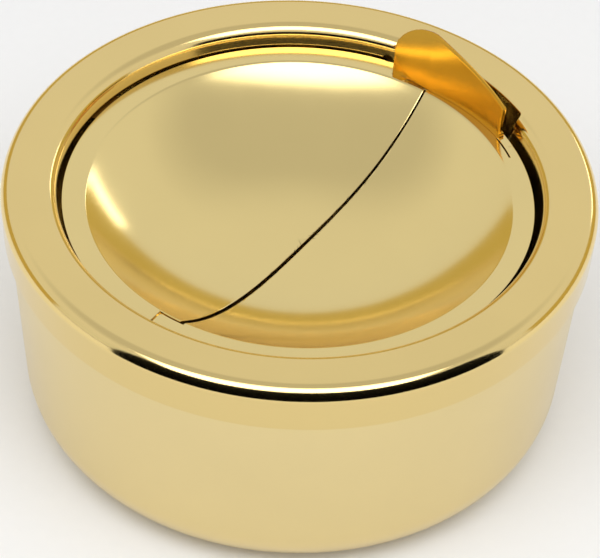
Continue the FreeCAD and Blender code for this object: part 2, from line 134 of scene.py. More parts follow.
class AshtrayPot(bpy.types.PropertyGroup):
    """The pot."""
    bottom: size("Bottom round", "Outside radius between floor and wall", 11.4)
    taper: angle("Taper", "Lean of the wall below the neck", 4.85)
    neck: size("Neck", "How far the straight neck reaches under the ring's skirt", 0.6)


class AshtrayDish(bpy.types.PropertyGroup):
    """The dished lid in two halves."""
    depth: size("Depth", "From the flange down to the middle", 10.9)
    flange: size("Flange", "Width of the fixed half's flat flange", 4.6)
    soft_rim: size("Soft rim", "Reach of the bend between bowl and flange", 0.3)
    seam_near: size("Seam at the near rim", "Width of the gap between the halves", 0.9)
    seam_far: size("Seam at the far rim", "Width of the gap between the halves", 0.4)
    tongue_gap: size("Tongue gap", "Between the flap's tongue and the fixed half", 0.3)
    corner: size("Corner", "Round of the tongue's corners", 0.7)
    slit: size("Slit", "Width of the slit beside the lever", 0.3)
    slit_reach: angle("Slit reach", "How far the slit runs on from the lever", 8.0)


class AshtrayLever(bpy.types.PropertyGroup):
    """The thumb lever."""
    wall: size("Wall", "Thickness of the lever's sheet", 0.9)
    setback: size("Setback", "From the bowl's rim out to the lever's inner face at its low end", 2.1)
    nose_setback: size("Nose setback", "The same from where the rounded nose starts", 0.6)
    start: angle("Start", "Angle round from +X of the lever's low end", 61.0)
    foot_end: angle("Foot end", "Angle where the welded foot ends", 86.0)
    round_start: angle("Nose start", "Angle where the rounded nose starts", 88.0)
    end: angle("End", "Angle of the nose's tip", 98.5)
    low_height: size("Low height", "Height at the low end", 7.3)
    nose_height: size("Nose height", "Height of the nose's tip", 6.9)
    lean: size("Lean", "How far the top edge leans out", 1.6)
    flare: size("Flare", "How far the high corner curls out beyond the lean", 1.6)
    foot_inset: size("Foot inset", "From the foot's edge to the flange's edge", 0.3)


class AshtraySpring(bpy.types.PropertyGroup):
    """Torsion spring on the near rivet."""
    wire: size("Wire", "Thickness of the wire", 0.6)
    coil: size("Coil", "Radius of the coil's middle line", 1.6)
    pitch: size("Pitch", "Distance from turn to turn", 0.7)
    turns: IntProperty(name="Turns", description="Number of turns", default=3, min=1, max=8)
    leg: size("Leg", "Length of each leg", 9.0)
    arm: size("Arm", "Thickness of the hinge arm beside the coil", 1.0)
    clearance: size("Clearance", "Between the arm and the coil", 0.1)


class AshtrayFinish(bpy.types.PropertyGroup):
    """Colours and gloss."""
    ring: colour("Ring", "Gold plate on the ring", (0.88, 0.68, 0.29))
    dish: colour("Dish", "Gold plate on the dish halves", (0.88, 0.70, 0.31))
    pot: colour("Pot", "Gold plate on the pot", (0.765, 0.62, 0.31))
    # lever: the deep orange is painted reflection, in place of light bounced between lever, flange and dish;
    # the plate itself is the same gold as the other pieces
    lever: colour("Lever", "Gold plate on the thumb lever", (0.66, 0.36, 0.04))
    # inner: the near-black is painted shade for the dark gaps where arms and clips are seen; only the dull
    # gloss is the plate's own
    inner: colour("Inner", "Dull unpolished plate on arms and clips", (0.16, 0.10, 0.035))
    steel: colour("Steel", "Plated steel of rivets and washers", (0.62, 0.61, 0.58))
    spring: colour("Spring", "Bare spring wire", (0.42, 0.42, 0.43))
    haze: share("Haze", "Roughness of the polished plate", 0.10)


# ---- shader maths --------------------------------------------------------------------------------

class Wire:
    """A shader socket whose sums and products add Math nodes."""

    def __init__(self, finish, socket):
        self.finish = finish
        self.socket = socket

    def sum_of(self, operation, first, second):
        return self.finish.node("ShaderNodeMath", {"operation": operation}, {0: first, 1: second})

    def __add__(self, other):
        return self.sum_of("ADD", self, other)

    def __mul__(self, other):
        return self.sum_of("MULTIPLY", self, other)

    __radd__ = __add__
    __rmul__ = __mul__


class Finish:
    """A material and the one way its nodes are added."""

    def __init__(self, name):
        self.material = bpy.data.materials.new(name)
        self.material.use_nodes = True
        self.tree = self.material.node_tree
        self.surface = self.tree.nodes["Principled BSDF"]

    def node(self, kind, settings=None, sockets=None, output=0):
        node = self.tree.nodes.new(kind)
        for name, value in (settings or {}).items():
            setattr(node, name, value)
        for name, value in (sockets or {}).items():
            self.feed(node.inputs[name], value)
        return Wire(self, node.outputs[output])

    def feed(self, socket, value):
        if isinstance(value, Wire):
            self.tree.links.new(value.socket, socket)
        else:
            socket.default_value = value

    def set(self, **sockets):
        for name, value in sockets.items():
            self.feed(self.surface.inputs[name.replace("_", " ")], value)


def noise(finish, scale, detail=2.0, stretch=(1.0, 1.0, 1.0)):
    """Noise on the piece's own coordinates, in metres."""
    coordinates = finish.node("ShaderNodeTexCoord", output="Object")
    place = finish.node("ShaderNodeMapping", {}, {"Vector": coordinates, "Scale": stretch})
    return finish.node("ShaderNodeTexNoise", {}, {"Vector": place, "Scale": scale, "Detail": detail})


def blend_colours(finish, factor, first, second):
    return finish.node("ShaderNodeMix", {"data_type": "RGBA"}, {"Factor": factor, 6: first, 7: second},
                       output=2)


def grey(level):
    return (level, level, level, 1.0)


def shade(colour_value, factor):
    return tuple(min(channel * factor, 1.0) for channel in colour_value) + (1.0,)


def across_height(finish, start, end):
    """0 at and above height start, 1 at and below height end, smooth between."""
    place = finish.node("ShaderNodeTexCoord", output="Object")
    height = finish.node("ShaderNodeSeparateXYZ", {}, {"Vector": place}, output="Z")
    return finish.node("ShaderNodeMapRange", {"interpolation_type": "SMOOTHSTEP"},
                       {"Value": height, "From Min": start, "From Max": end})


def plated_gold(name, gold, haze, ripple, grain=0.0, painted_shade_below=None):
    """Polished brass plate: faint tone drift, hand smudges in the gloss and a slow ripple from pressing.

    Below a given height, if there is one, the colour is a shade deeper: painted shade, in place of the dimmer
    reflection there.
    """
    finish = Finish(name)
    drift = noise(finish, 45.0, 3.0)
    smudge = noise(finish, 160.0, 4.0)
    pores = noise(finish, 2600.0, 2.0)
    tone = blend_colours(finish, drift, shade(gold, 0.965), shade(gold, 1.03))
    # painted shade: the colour is darkened below the given height
    if painted_shade_below is not None:
        tone = blend_colours(finish, across_height(finish, painted_shade_below, painted_shade_below - 2.0 * MM), tone, shade(gold, 0.84))
    roughness = haze + smudge * (0.35 * haze) + pores * (0.15 * haze)
    slow = noise(finish, 70.0, 1.0)
    relief = slow * ripple + pores * grain
    bump = finish.node("ShaderNodeBump", {}, {"Height": relief, "Distance": 1.0, "Strength": 1.0})
    finish.set(Base_Color=tone, Metallic=1.0, Roughness=roughness, Normal=bump)
    return finish.material


def plain_metal(name, colour_value, roughness, scratch_scale):
    """Barrel-finished steel: fine scratches in the gloss and small pits."""
    finish = Finish(name)
    scratches = noise(finish, scratch_scale, 6.0, (1.0, 0.12, 1.0))
    pits = noise(finish, 1400.0, 3.0)
    tone = blend_colours(finish, pits, shade(colour_value, 0.85), shade(colour_value, 1.08))
    relief = scratches * (0.004 * MM) + pits * (0.003 * MM)
    bump = finish.node("ShaderNodeBump", {}, {"Height": relief, "Distance": 1.0})
    finish.set(Base_Color=tone, Metallic=1.0, Roughness=roughness + scratches * 0.18, Normal=bump)
    return finish.material


# ---- outlines ------------------------------------------------------------------------------------

def arc(radius, height, round_radius, start, end, steps):
    """Places along an arc about (radius, height), angles in degrees from the outward direction."""
    places = []
    for step in range(steps + 1):
        turn = math.radians(start + (end - start) * step / steps)
        places.append((radius + round_radius * math.cos(turn), height + round_radius * math.sin(turn)))
    return places


def run(start, end, steps):
    """Places along a straight run, without its first."""
    return [(start[0] + (end[0] - start[0]) * step / steps, start[1] + (end[1] - start[1]) * step / steps)
            for step in range(1, steps + 1)]


# ---- modelling by hand ---------------------------------------------------------------------------

def deselect():
    bpy.ops.object.select_all(action="DESELECT")


def turned_sheet(name, places, columns, closed_end=False):
    """Circle drawn out ring by ring along an outline of (radius, height) places."""
    deselect()
    bpy.ops.mesh.primitive_circle_add(vertices=columns, radius=places[0][0], fill_type="NOTHING",
                                      enter_editmode=True, location=CENTRE)
    piece = bpy.context.object
    piece.name = piece.data.name = name
    bpy.ops.transform.translate(value=(0.0, 0.0, places[0][1]))
    for (last_radius, last_height), (radius, height) in zip(places, places[1:]):
        rise = {"value": (0.0, 0.0, height - last_height)}
        bpy.ops.mesh.extrude_edges_move(TRANSFORM_OT_translate=rise)
        grow = radius / last_radius
        bpy.ops.transform.resize(value=(grow, grow, 1.0), center_override=CENTRE)
    if closed_end:
        bpy.ops.mesh.merge(type="CENTER")
    bpy.ops.mesh.select_all(action="SELECT")
    bpy.ops.mesh.normals_make_consistent(inside=False)
    bpy.ops.object.mode_set(mode="OBJECT")
    return piece


def turn_about(angle_value):
    """Direction in plan at this angle round from +X."""
    return Vector((math.cos(angle_value), math.sin(angle_value), 0.0))


def plan_angle(place):
    return math.atan2(place.y, place.x)


def plan_radius(place):
    return math.hypot(place.x, place.y)


def select_faces(piece, wanted):
    """Edit mode with only the faces selected whose centre is wanted."""
    bpy.ops.object.mode_set(mode="EDIT")
    bpy.ops.mesh.select_mode(type="FACE")
    mesh = bmesh.from_edit_mesh(piece.data)
    for face in mesh.faces:
        face.select = wanted(face.calc_center_median())
    mesh.select_flush_mode()
    bmesh.update_edit_mesh(piece.data)


def select_vertices(piece, wanted):
    bpy.ops.object.mode_set(mode="EDIT")
    bpy.ops.mesh.select_mode(type="VERT")
    mesh = bmesh.from_edit_mesh(piece.data)
    for vertex in mesh.verts:
        vertex.select = wanted(vertex.co)
    mesh.select_flush_mode()
    bmesh.update_edit_mesh(piece.data)


def cut(place, normal, clear_outer=False, clear_inner=False):
    bpy.ops.mesh.bisect(plane_co=place, plane_no=normal, clear_outer=clear_outer, clear_inner=clear_inner,
                        threshold=0.000001)


def cut_part(piece, wanted, place, normal, **clear):
    """Cuts only the wanted faces, which are parted from their neighbours first and joined again after."""
    select_faces(piece, wanted)
    bpy.ops.mesh.split()
    cut(place, normal, **clear)
    bpy.ops.mesh.select_all(action="SELECT")
    bpy.ops.mesh.remove_doubles(threshold=0.000001)


def apply_modifier(piece, kind, **settings):
    bpy.ops.object.mode_set(mode="OBJECT")
    deselect()
    piece.select_set(True)
    bpy.context.view_layer.objects.active = piece
    modifier = piece.modifiers.new(kind.lower(), kind)
    for name, value in settings.items():
        setattr(modifier, name, value)
    bpy.ops.object.modifier_apply(modifier=modifier.name)


def face_towards(piece, side):
    """Turns the sheet's seen side to where side, a sum over one face, is positive on the whole."""
    bpy.ops.object.mode_set(mode="OBJECT")
    if sum(side(face) * face.area for face in piece.data.polygons) < 0.0:
        bpy.ops.object.mode_set(mode="EDIT")
        bpy.ops.mesh.select_all(action="SELECT")
        bpy.ops.mesh.flip_normals()
        bpy.ops.object.mode_set(mode="OBJECT")


def face_up(piece):
    face_towards(piece, lambda face: face.normal.z)


def thicken(piece, wall, edge, edge_angle=50.0):
    """Sheet wall behind the seen side, rounded cut edges and flat faces that shade flat."""
    apply_modifier(piece, "SOLIDIFY", thickness=wall, offset=-1.0, use_even_offset=True, use_rim=True)
    apply_modifier(piece, "BEVEL", width=edge, segments=2, limit_method="ANGLE",
                   angle_limit=math.radians(edge_angle), use_clamp_overlap=False)
    smooth(piece)


def smooth(piece, crease=35.0):
    deselect()
    piece.select_set(True)
    bpy.context.view_layer.objects.active = piece
    bpy.ops.object.shade_smooth_by_angle(angle=math.radians(crease))
    apply_modifier(piece, "WEIGHTED_NORMAL", keep_sharp=True, weight=100)


def finish_piece(piece, material, body, slot, *nodes):
    piece.data.materials.clear()
    piece.data.materials.append(material)
    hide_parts(*nodes)
    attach(piece, body)


# ---- pot -----------------------------------------------------------------------------------------

class ASHTRAY_OT_pot(bpy.types.Operator):
    """Drawn pot with a straight neck, a tapered wall and a round bottom edge"""
    bl_idname = "ashtray.pot"
    bl_label = "Pot"

    def execute(self, context):
        scene = context.scene
        sheet, pot, finish = scene.ashtray_sheet, scene.ashtray_pot, scene.ashtray_finish
        radius = POT_TOP.x
        neck_foot = (radius, RING_LOW.z - pot.neck)
        rise = neck_foot[1] - pot.bottom
        floor_radius = radius - (pot.bottom + rise * math.sin(pot.taper)) / math.cos(pot.taper)
        places = [(radius, POT_TOP.z), (radius, POT_TOP.z - 2 * sheet.wall)]
        places += run(places[-1], neck_foot, 2)
        bottom = arc(floor_radius, pot.bottom, pot.bottom, -math.degrees(pot.taper), -90.0, 28)
        places += run(neck_foot, bottom[0], 8) + bottom[1:]
        places += run(bottom[-1], (2 * MM, 0.0), 8)
        piece = turned_sheet("pot_shell", places, sheet.columns, closed_end=True)
        thicken(piece, sheet.wall, sheet.edge)
        material = plated_gold("pot_gold", finish.pot, 1.9 * finish.haze, 0.00002)
        finish_piece(piece, material, "pot", "gold_pot", "ash_pot")
        return {"FINISHED"}


# ---- cover ring ----------------------------------------------------------------------------------

class ASHTRAY_OT_ring(bpy.types.Operator):
    """Cover ring with its skirt, shoulder, lip and channel, the lever's recess and the hinge window"""
    bl_idname = "ashtray.ring"
    bl_label = "Cover ring"

    def execute(self, context):
        scene = context.scene
        sheet, ring, finish = scene.ashtray_sheet, scene.ashtray_ring, scene.ashtray_finish
        piece = turned_sheet("cover_ring", self.outline(ring), sheet.columns)
        self.press_recess(piece, ring)
        face_up(piece)
        thicken(piece, sheet.wall, sheet.edge, 60.0)
        self.drill_window(piece, ring)
        smooth(piece)
        # The ring's skirt below the middle of the shoulder gets painted shade in its colour, for its dimmer
        # reflection.
        material = plated_gold("ring_gold", finish.ring, finish.haze, 0.00002,
                               painted_shade_below=RING_HIGH.z - 0.5 * ring.shoulder)
        finish_piece(piece, material, "cover", "gold_ring", "rim_ring")
        return {"FINISHED"}

    def lip_radius(self, ring):
        return RING_HIGH.x - ring.shoulder - ring.top_width

    def channel(self, ring):
        """Top and foot of the sloping channel wall, as (radius, height)."""
        lip_radius = self.lip_radius(ring)
        top = (lip_radius - ring.lip * math.cos(ring.slope),
               RING_HIGH.z - ring.lip * (1.0 - math.sin(ring.slope)))
        foot_radius = lip_radius - ring.channel
        return top, (foot_radius, top[1] - (top[0] - foot_radius) / math.tan(ring.slope))

    def inside(self, ring, lip, slope, foot):
        """Lip, wall and collar, from the flat top down to the collar's edge."""
        lip_radius = self.lip_radius(ring)
        places = arc(lip_radius, RING_HIGH.z - lip, lip, 90.0, 180.0 - math.degrees(slope), 14)
        places += run(places[-1], foot, 6)
        return places + run(foot, (foot[0], HINGE_PLACE.z - ring.collar), 3)

    def outline(self, ring):
        shoulder_radius = RING_HIGH.x - ring.shoulder
        widest = (RING_HIGH.x, RING_HIGH.z - ring.shoulder)
        places = [(RING_HIGH.x - ring.flare, RING_LOW.z)]
        places += run(places[0], widest, 4)
        places += arc(shoulder_radius, widest[1], ring.shoulder, 0.0, 90.0, 20)[1:]
        places += run(places[-1], (self.lip_radius(ring), RING_HIGH.z), 4)
        return places + self.inside(ring, ring.lip, ring.slope, self.channel(ring)[1])[1:]

    def press_recess(self, piece, ring):
        """Presses lip, wall and collar back to a small round over an upright wall, between steep cheeks."""
        foot = self.channel(ring)[1]
        lip_radius = self.lip_radius(ring)
        plain = self.inside(ring, ring.lip, ring.slope, foot)[1:]
        pressed = self.inside(ring, ring.recess_lip, 0.0, (lip_radius - ring.recess_lip, foot[1]))[1:]
        tiny = 0.002 * MM
        columns = 6
        for end, inward in ((ring.recess_start, 1.0), (ring.recess_end, -1.0)):
            for column in range(columns + 1):
                at = end + inward * ring.cheek * column / columns
                select_faces(piece, lambda place: plan_radius(place) < lip_radius
                             and abs(plan_angle(place) - at) < math.radians(2.0))
                cut(CENTRE, turn_about(at + math.pi / 2))
        bpy.ops.object.mode_set(mode="OBJECT")
        for vertex in piece.data.vertices:
            turn = plan_angle(vertex.co)
            depth = min(turn - ring.recess_start, ring.recess_end - turn) / ring.cheek
            if depth <= 0.0 or plan_radius(vertex.co) > lip_radius - tiny:
                continue
            back = min(depth, 1.0) ** 2 * (3.0 - 2.0 * min(depth, 1.0))
            for (radius, height), (new_radius, new_height) in zip(plain, pressed):
                if abs(vertex.co.z - height) < tiny:
                    grow = 1.0 + back * (new_radius / radius - 1.0)
                    vertex.co = (vertex.co.x * grow, vertex.co.y * grow,
                                 height + back * (new_height - height))
                    break

    def drill_window(self, piece, ring):
        """Round opening through the channel wall above the far rivet."""
        deselect()
        collar = self.channel(ring)[1][0]
        turn = math.pi / 2 - math.asin(HINGE_PLACE.x / collar)
        place = turn_about(turn) * collar
        place.z = HINGE_PLACE.z + ring.window_rise
        bpy.ops.mesh.primitive_cylinder_add(vertices=48, radius=ring.window, depth=3 * ring.channel,
                                            location=place, rotation=(math.pi / 2, 0.0, turn - math.pi / 2))
        drill = bpy.context.object
        apply_modifier(piece, "BOOLEAN", operation="DIFFERENCE", solver="EXACT", object=drill)
        bpy.data.objects.remove(drill)


# ---- dish ----------------------------------------------------------------------------------------

def dish_rim(dish):
    """Radius where bowl and flange meet, the same on both halves."""
    return -FIXED_LOW.x - dish.flange


def dish_outline(dish, flange_radius, flange_top, extra_rings):
    """From the flange's edge in over the rim and down the bowl, with rings where the flange is cut."""
    rim = dish_rim(dish)
    soft = dish.soft_rim
    rings = sorted({flange_radius, rim + soft, *extra_rings}, reverse=True)
    places = [(radius, flange_top) for radius in rings]

    def bowl(radius):
        return flange_top - dish.depth * (1.0 - (radius / rim) ** 3)

    inner = rim - soft
    for step in range(1, 5):
        along = step / 4
        radius = (1 - along) ** 2 * (rim + soft) + 2 * along * (1 - along) * rim + along ** 2 * inner
        height = (1 - along ** 2) * flange_top + along ** 2 * bowl(inner)
        places.append((radius, height))
    steps = 44
    for step in range(1, steps):
        radius = inner + (MM - inner) * step / (steps - 1)
        places.append((radius, bowl(radius)))
    return places


class ASHTRAY_OT_dish(bpy.types.Operator):
    """Two halves of the dished lid: a fixed one, and the flap with its flange tongues and slit"""
    bl_idname = "ashtray.dish"
    bl_label = "Dish halves"

    def execute(self, context):
        scene = context.scene
        sheet, dish, lever, finish = (scene.ashtray_sheet, scene.ashtray_dish, scene.ashtray_lever,
                                      scene.ashtray_finish)
        material = plated_gold("dish_gold", finish.dish, 1.15 * finish.haze, 0.00002)
        fixed = self.fixed_half(sheet, dish)
        thicken(fixed, sheet.wall, sheet.edge)
        finish_piece(fixed, material, "cover", "gold_dish", "fixed_dish_half")
        flap = self.flap_half(sheet, dish, lever)
        thicken(flap, sheet.wall, sheet.edge)
        finish_piece(flap, material, "flap", "gold_dish", "flap_dish_half")
        return {"FINISHED"}

    def fixed_half(self, sheet, dish):
        groove = dish_rim(dish) + dish.tongue_gap
        places = dish_outline(dish, -FIXED_LOW.x, FIXED_HIGH.z, [groove])
        piece = turned_sheet("dish_fixed", places, sheet.columns, closed_end=True)
        select_faces(piece, lambda place: True)
        cut((FIXED_HIGH.x, 0.0, 0.0), (1.0, 0.0, 0.0), clear_outer=True)
        cut_part(piece, lambda place: plan_radius(place) > groove, (FLAP_LOW.x - dish.tongue_gap, 0.0, 0.0),
                 (1.0, 0.0, 0.0), clear_outer=True)
        face_up(piece)
        return piece

    def flap_half(self, sheet, dish, lever):
        radius = FLAP_HIGH.x
        rim = dish_rim(dish)
        inner = rim + 2 * dish.tongue_gap
        slit_middle = rim + lever.setback
        slit_sides = (slit_middle - dish.slit / 2, slit_middle + dish.slit / 2)
        places = dish_outline(dish, radius, FLAP_HIGH.z, [inner, *slit_sides])
        piece = turned_sheet("dish_flap", places, sheet.columns, closed_end=True)
        cut_part(piece, lambda place: plan_radius(place) > inner, (FLAP_LOW.x, 0.0, 0.0), (1.0, 0.0, 0.0),
                 clear_inner=True)
        lean = math.atan((dish.seam_near - dish.seam_far) / (2 * rim))
        middle = FIXED_HIGH.x + (dish.seam_near + dish.seam_far) / 2
        cut_part(piece, lambda place: plan_radius(place) < inner, (middle, 0.0, 0.0),
                 (math.cos(lean), math.sin(lean), 0.0), clear_inner=True)
        select_faces(piece, lambda place: slit_sides[0] < plan_radius(place) < slit_sides[1]
                     and lever.start - dish.slit_reach < plan_angle(place) < lever.start)
        bpy.ops.mesh.delete(type="FACE")
        self.round_corners(piece, dish, inner, radius)
        face_up(piece)
        return piece

    def round_corners(self, piece, dish, inner, outer):
        """Rounds the two corners at the end of each tongue."""
        tiny = 0.01 * MM
        select_vertices(piece, lambda place: abs(place.x - FLAP_LOW.x) < tiny
                        and min(abs(plan_radius(place) - inner), abs(plan_radius(place) - outer)) < tiny)
        bpy.ops.mesh.bevel(offset=dish.corner, segments=5, affect="VERTICES")
        bpy.ops.object.mode_set(mode="OBJECT")


# ---- thumb lever ---------------------------------------------------------------------------------

class ASHTRAY_OT_lever(bpy.types.Operator):
    """Shell-shaped thumb lever on a welded foot, leaning and curling out towards its high corner"""
    bl_idname = "ashtray.lever"
    bl_label = "Thumb lever"

    foot_rows = 6
    wall_rows = 22
    columns = 72

    def execute(self, context):
        scene = context.scene
        lever, dish, finish = scene.ashtray_lever, scene.ashtray_dish, scene.ashtray_finish
        deselect()
        rows = self.foot_rows + self.wall_rows
        bpy.ops.mesh.primitive_grid_add(x_subdivisions=self.columns, y_subdivisions=rows, size=2.0,
                                        location=CENTRE)
        piece = bpy.context.object
        piece.name = piece.data.name = "lever_shell"
        rim = dish_rim(dish)
        for vertex in piece.data.vertices:
            column = round((vertex.co.x + 1.0) / 2.0 * self.columns)
            row = round((vertex.co.y + 1.0) / 2.0 * rows)
            vertex.co = self.place(lever, rim, column, row)
        self.trim_foot(piece, lever)
        bpy.ops.object.mode_set(mode="EDIT")
        bpy.ops.mesh.select_all(action="SELECT")
        bpy.ops.mesh.remove_doubles(threshold=0.00001)
        bpy.ops.object.mode_set(mode="OBJECT")
        face_towards(piece, lambda face: -face.normal.x * face.center.x - face.normal.y * face.center.y)
        thicken(piece, lever.wall, 0.22 * lever.wall)
        # The lever's colour is painted reflection: deepened orange in place of the light bounced between
        # lever, flange and dish.
        material = plated_gold("lever_gold_painted_reflection", finish.lever, 1.6 * finish.haze, 0.00003, 0.0000012)
        finish_piece(piece, material, "flap", "gold_lever", "thumb_lever")
        return {"FINISHED"}

    def place(self, lever, rim, column, row):
        """Where a grid point of the sheet lies: its first rows are the foot, the others the wall."""
        along_all = column / self.columns
        reach = lever.end - lever.start
        turn = lever.start + reach * math.sin(along_all * math.pi / 2) ** 0.9
        along = (turn - lever.start) / (lever.round_start - lever.start)
        base = FLAP_HIGH.z
        full_height = LEVER_TOP - base
        radius = rim + lever.setback - (lever.setback - lever.nose_setback) * min(along, 1.0)
        top = base + lever.low_height + (full_height - lever.low_height) * min(along, 1.0)
        bottom = base
        if turn > lever.round_start:
            past = min((turn - lever.round_start) / (lever.end - lever.round_start), 1.0)
            keep = math.sqrt(1.0 - past ** 2)
            nose = base + lever.nose_height
            bottom = nose - (nose - base) * keep
            top = nose + (top - nose) * keep
        if row < self.foot_rows:
            foot_reach = FLAP_HIGH.x - lever.foot_inset - radius
            out = foot_reach * (1.0 - row / self.foot_rows)
            return turn_about(turn) * (radius + out) + Vector((0.0, 0.0, base))
        height = bottom + (top - bottom) * (row - self.foot_rows) / self.wall_rows
        high = (height - base) / full_height
        out = lever.lean * high + lever.flare * high ** 3 * along ** 2       # leans evenly, then curls
        return turn_about(turn) * (radius + out) + Vector((0.0, 0.0, height))

    def trim_foot(self, piece, lever):
        base = FLAP_HIGH.z + 0.01 * MM
        select_faces(piece, lambda place: place.z < base and plan_angle(place) > lever.foot_end)
        bpy.ops.mesh.delete(type="FACE")
        bpy.ops.object.mode_set(mode="OBJECT")


# ---- return spring -------------------------------------------------------------------------------

class ASHTRAY_OT_spring(bpy.types.Operator):
    """Torsion spring whose outer leg lifts the flap's arm and whose inner leg bears on the fixed half"""
    bl_idname = "ashtray.spring"
    bl_label = "Return spring"

    steps = 36

    def execute(self, context):
        scene = context.scene
        sheet, spring, finish = scene.ashtray_sheet, scene.ashtray_spring, scene.ashtray_finish
        half = spring.wire / 2
        outer_y = ARM_LOW.y + spring.arm + spring.clearance + half
        inner_y = outer_y + spring.turns * spring.pitch
        piece = self.wire(spring, self.middle_line(sheet, spring, outer_y, inner_y))
        smooth(piece)
        piece.data.materials.append(plain_metal("spring_wire", finish.spring, 0.3, 1800.0))
        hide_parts("return_spring")
        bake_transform(piece)
        return {"FINISHED"}

    def middle_line(self, sheet, spring, outer_y, inner_y):
        """From the end of the moving leg, round the coil, to the end of the fixed leg."""
        half = spring.wire / 2
        top = HINGE_PLACE.z + spring.coil
        root = Vector((HINGE_PLACE.x, outer_y, top))
        bearing = Vector((FLAP_LOW.x, outer_y, FLAP_HIGH.z - 2 * sheet.wall - half))
        places = [root + (bearing - root).normalized() * spring.leg]
        for step in range(spring.turns * self.steps + 1):
            turn = 2 * math.pi * step / self.steps
            places.append(Vector((HINGE_PLACE.x - spring.coil * math.sin(turn),
                                  outer_y + spring.pitch * step / self.steps,
                                  HINGE_PLACE.z + spring.coil * math.cos(turn))))
        rise = FIXED_HIGH.z - sheet.wall - half - top
        places.append(Vector((HINGE_PLACE.x - math.sqrt(spring.leg ** 2 - rise ** 2), inner_y, top + rise)))
        return places

    def wire(self, spring, places):
        """Round wire along these places, as a closed mesh."""
        line = bpy.data.curves.new("spring_line", "CURVE")
        line.dimensions = "3D"
        line.bevel_depth = spring.wire / 2
        line.bevel_resolution = 3
        line.use_fill_caps = True
        run_along = line.splines.new("POLY")
        run_along.points.add(len(places) - 1)
        for point, place in zip(run_along.points, places):
            point.co = (*place, 1.0)
        piece = bpy.data.objects.new("spring_coil", line)
        bpy.context.scene.collection.objects.link(piece)
        deselect()
        piece.select_set(True)
        bpy.context.view_layer.objects.active = piece
        bpy.ops.object.convert(target="MESH")
        piece = bpy.context.object
        bpy.ops.object.mode_set(mode="EDIT")
        bpy.ops.mesh.select_all(action="SELECT")
        bpy.ops.mesh.remove_doubles(threshold=0.000001)
        bpy.ops.mesh.normals_make_consistent(inside=False)
        bpy.ops.object.mode_set(mode="OBJECT")
        return piece


# ---- hardware ------------------------------------------------------------------------------------

class ASHTRAY_OT_hardware(bpy.types.Operator):
    """Finishes for the arms, clips, rivets and washers, which keep their CAD shape"""
    bl_idname = "ashtray.hardware"
    bl_label = "Hinge hardware and clips"

    def execute(self, context):
        finish = context.scene.ashtray_finish
        # Arms and clips get a near-black colour as painted shade for the dark gaps where they are seen.
        gold = plated_gold("inner_painted_shade", finish.inner, 3.0 * finish.haze, 0.00002)
        steel = plain_metal("rivet_steel", finish.steel, 0.24, 900.0)
        for name, node in frame["nodes"].items():
            if name.startswith(("hinge_arm", "fixing_clip")):
                material = gold
            elif name.startswith(("hinge_rivet", "hinge_washer")):
                material = steel
            else:
                continue
            node.data.materials.clear()
            node.data.materials.append(material)
        return {"FINISHED"}


# ---- stage ---------------------------------------------------------------------------------------

CAMERA_AZIMUTH = math.radians(32.5)
CAMERA_ELEVATION = math.radians(41.57)
CAMERA_DISTANCE = 0.763
CAMERA_ROLL = math.radians(2.8)
CAMERA_LOWERED = math.radians(1.30)       # below the line to AIM, so that the whole pot is framed
AIM = Vector((0.0, 0.0, RING_HIGH.z - 2.7 * MM))


def camera_frame(turn, elevation):
    """Direction from the object at this turn from the camera's azimuth and this elevation."""
    around = CAMERA_AZIMUTH + turn
    return Vector((math.sin(around) * math.cos(elevation), -math.cos(around) * math.cos(elevation),
                   math.sin(elevation)))


